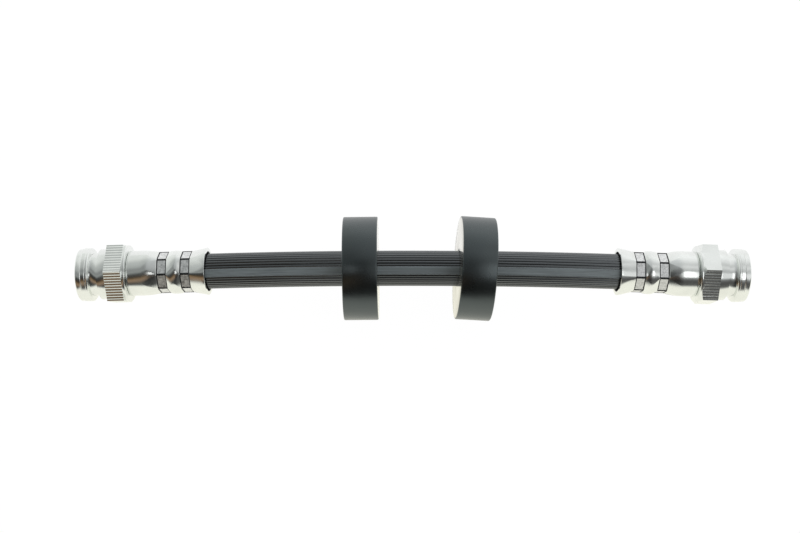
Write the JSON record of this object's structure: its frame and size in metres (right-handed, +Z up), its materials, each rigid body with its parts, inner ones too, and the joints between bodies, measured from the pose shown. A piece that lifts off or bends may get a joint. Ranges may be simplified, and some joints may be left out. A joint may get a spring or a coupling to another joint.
{
  "type": "brake hose",
  "caption": "Short reinforced rubber brake hose with a female threaded steel fitting crimped on each end and thick rubber rings round its middle.",
  "frame": {"origin": "middle of the part's box, on the plane it lies on", "axes": "+X along the hose towards the end whose hexagon has plain flats between serrated ones, +Z up"},
  "size_m": [0.1964, 0.0302, 0.0304],
  "materials": {
    "hose_rubber": "fine lengthwise ribs, satin black",
    "zinc_plated_steel": "bright zinc plating with a satin sheen",
    "ring_rubber": "smooth moulded rubber, satin dark grey"
  },
  "bodies": {
    "root": {"hose": "hose_rubber", "left_end_fitting": "zinc_plated_steel", "left_ferrule": "zinc_plated_steel", "right_end_fitting": "zinc_plated_steel", "right_ferrule": "zinc_plated_steel", "left_rubber_ring": "ring_rubber", "right_rubber_ring": "ring_rubber"}
  },
  "joints": []
}
